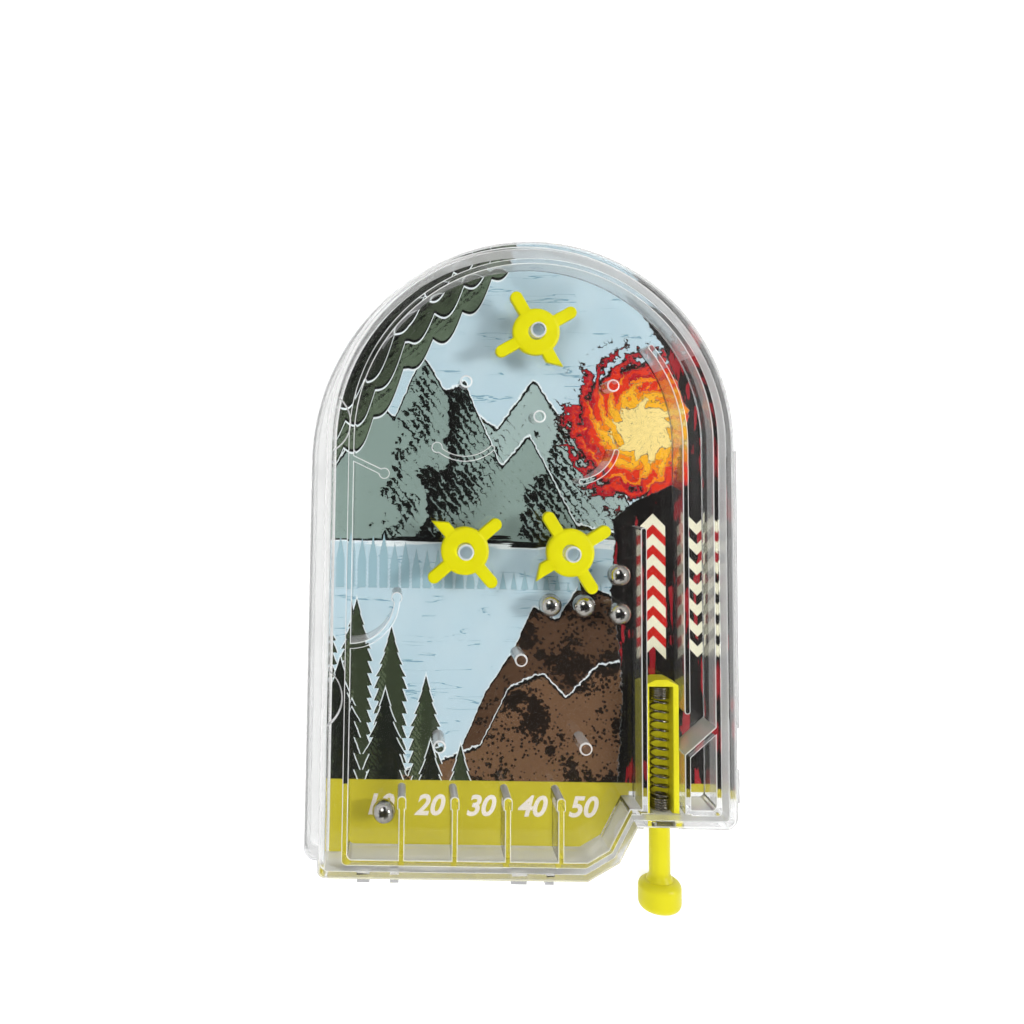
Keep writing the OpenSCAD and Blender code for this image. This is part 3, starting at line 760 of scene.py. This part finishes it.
class PINBALL_OT_balls(bpy.types.Operator):
    """Loose steel balls"""
    bl_idname = "pinball.balls"
    bl_label = "Steel balls"

    def execute(self, context):
        steel = polished_steel("polished_ball_steel")
        for i, letter in enumerate("abcde", 1):
            low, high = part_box(f"ball_{i}")
            middle, radius = (low + high) / 2, (high.z - low.z) / 2
            bpy.ops.object.select_all(action="DESELECT")
            bpy.ops.mesh.primitive_cube_add(size=2 * radius, location=(0, 0, 0))
            ball = context.object
            ball.name = ball.data.name = f"steel_ball_{i}"
            bpy.ops.object.mode_set(mode="EDIT")
            bpy.ops.mesh.subdivide(number_cuts=15)
            bpy.ops.transform.tosphere(value=1)
            bpy.ops.object.mode_set(mode="OBJECT")
            for v in ball.data.vertices:
                v.co = middle + v.co.normalized() * radius
            bpy.ops.object.shade_smooth()
            lay_out(ball, steel, f"ball_{letter}", "steel", f"ball_{i}")
        return {"FINISHED"}


class PINBALL_OT_stage(bpy.types.Operator):
    """Floor, world, lamps and camera"""
    bl_idname = "pinball.stage"
    bl_label = "Stage"

    def execute(self, context):
        scene = context.scene
        scene.view_settings.view_transform = "Standard"
        bpy.ops.object.select_all(action="DESELECT")
        bpy.ops.mesh.primitive_plane_add(size=6, location=(0, 0, -0.0002))
        floor = context.object
        floor.name = "floor"
        # White photo paper: matte, with soft shadows, and lit up for the eye alone so that it reads as white
        material, tree = blank_material("white_paper_floor")
        direct = node(tree, "LightPath", out="Is Camera Ray")
        mirrored = node(tree, "LightPath", out="Is Glossy Ray")
        through = node(tree, "LightPath", out="Is Transmission Ray")
        seen = node(tree, "Math MAXIMUM", node(tree, "Math MAXIMUM", direct, mirrored), through)
        lit = node(tree, "Math MULTIPLY", seen, 0.5)
        paper = node(tree, "BsdfDiffuse", [0.72, 0.72, 0.72, 1])
        glow = node(tree, "Emission", [1, 1, 1, 1], lit)
        near = node(tree, "AddShader", paper, glow)
        # Far from the game the paper fades to the background's white, so that no horizon shows
        away = node(tree, "VectorMath LENGTH", node(tree, "TexCoord", out="Object"), out=1)
        fade = node(tree, "Math MULTIPLY", seen, node(tree, "MapRange", away, 0.25, 0.8, 0.0, 1.0))
        background = node(tree, "Emission", [1, 1, 1, 1], 1.0)
        node(tree, "OutputMaterial", node(tree, "MixShader", fade, near, background))
        floor.data.materials.append(material)

        world = bpy.data.worlds.new("studio")
        world.use_nodes = True
        scene.world = world
        tree = world.node_tree
        tree.nodes.clear()
        toward = node(tree, "TexCoord", out="Generated")
        up = node(tree, "SeparateXYZ", toward, out="Z")
        # A white tent all round, with a ragged dark gap overhead where the camera looks in
        ragged = node(tree, "TexNoise", toward, named={"Scale": 3.0, "Detail": 2.0})
        height = node(tree, "Math MULTIPLY_ADD", ragged, 1.1, node(tree, "Math SUBTRACT", up, 0.38))
        tent = node(tree, "ValToRGB", height)
        cloth, gap = tent.node.color_ramp.elements
        cloth.position, cloth.color = 0.70, (0.93, 0.94, 0.95, 1)
        gap.position, gap.color = 0.885, (0.02, 0.02, 0.022, 1)
        # A round soft box in the gap, which the balls mirror
        beside = node(tree, "VectorMath DOT_PRODUCT", toward, (-0.3, 0.5, 0.81), out=1)
        soft_box = node(tree, "MapRange", beside, 0.962, 0.98, 0.0, 1.0)
        tent = node(tree, "MixRGB", soft_box, tent, [2.8, 2.8, 2.8, 1])
        # Light that has bounced off a matte surface meets one even level instead
        bounced = node(tree, "Math GREATER_THAN", node(tree, "LightPath", out="Diffuse Depth"), 0.5)
        soft = node(tree, "MixRGB", bounced, tent, [0.43, 0.43, 0.43, 1])
        colour = node(tree, "MixRGB", node(tree, "LightPath", out="Is Camera Ray"), soft, [1, 1, 1, 1])
        node(tree, "OutputWorld", node(tree, "Background", colour, 1.0))

        for name, place, size, watts in (
            ("left_lamp", (-0.42, 0.26, 0.78), 0.45, 2.8),
            ("right_lamp", (0.62, 0.10, 0.50), 0.22, 2.3),
            ("front_lamp", (-0.05, -0.68, 0.58), 0.45, 3.5),
        ):
            lamp = bpy.data.lights.new(name, "AREA")
            lamp.shape, lamp.size, lamp.energy = "DISK", size, watts * scene.pinball_stage.lamp
            holder = bpy.data.objects.new(name, lamp)
            scene.collection.objects.link(holder)
            holder.location = place
            # The tent stands for the other two in mirrored light
            holder.visible_glossy = holder.visible_transmission = name == "right_lamp"
            holder.rotation_euler = (-Vector(place)).to_track_quat("-Z", "Y").to_euler()

        lens = bpy.data.cameras.new("photo_camera")
        lens.sensor_width, lens.lens = 36, scene.pinball_stage.lens
        lens.shift_x, lens.shift_y = 0.109, -0.108
        lens.clip_start, lens.clip_end = 0.01, 20
        camera = bpy.data.objects.new("photo_camera", lens)
        scene.collection.objects.link(camera)
        # Looks down on the game, tipped a little towards its top and rolled a little
        tip, roll = math.radians(3.86), math.radians(0.8)
        ahead = Vector((0, math.sin(tip), -math.cos(tip)))
        level_up = Vector((0, math.cos(tip), math.sin(tip)))
        right = Vector((1, 0, 0)) * math.cos(roll) + level_up * math.sin(roll)
        upward = -Vector((1, 0, 0)) * math.sin(roll) + level_up * math.cos(roll)
        camera.matrix_world = Matrix((right, upward, -ahead)).transposed().to_4x4()
        camera.location = (-0.0257, 0.01885, 0.190)
        scene.camera = camera
        return {"FINISHED"}


PIECES = (PINBALL_OT_stage, PINBALL_OT_tray, PINBALL_OT_card, PINBALL_OT_playfield, PINBALL_OT_pins,
          PINBALL_OT_cover, PINBALL_OT_spinners, PINBALL_OT_plunger, PINBALL_OT_spring, PINBALL_OT_balls)
SETTINGS = {"pinball_clear": ClearPlasticSettings, "pinball_card": CardSettings,
            "pinball_yellow": YellowSettings, "pinball_spring": SpringSettings,
            "pinball_stage": StageSettings}


class PINBALL_PT_panel(bpy.types.Panel):
    """Lists the game's pieces and their settings"""
    bl_idname = "PINBALL_PT_panel"
    bl_label = "Pinball Game"
    bl_space_type = "VIEW_3D"
    bl_region_type = "UI"
    bl_category = "Pinball"

    def draw(self, context):
        for piece in PIECES:
            self.layout.operator(piece.bl_idname)
        for group in SETTINGS:
            box = self.layout.box()
            for name in SETTINGS[group].__annotations__:
                box.prop(getattr(context.scene, group), name)


def register():
    for kind in (*SETTINGS.values(), *PIECES, PINBALL_PT_panel):
        bpy.utils.register_class(kind)
    for group, kind in SETTINGS.items():
        setattr(bpy.types.Scene, group, bpy.props.PointerProperty(type=kind))


def unregister():
    for group in SETTINGS:
        delattr(bpy.types.Scene, group)
    for kind in (PINBALL_PT_panel, *reversed(PIECES), *reversed(SETTINGS.values())):
        bpy.utils.unregister_class(kind)


def main():
    register()
    for piece in PIECES:
        family, name = piece.bl_idname.split(".")
        getattr(getattr(bpy.ops, family), name)()


if __name__ == "__main__":
    main()
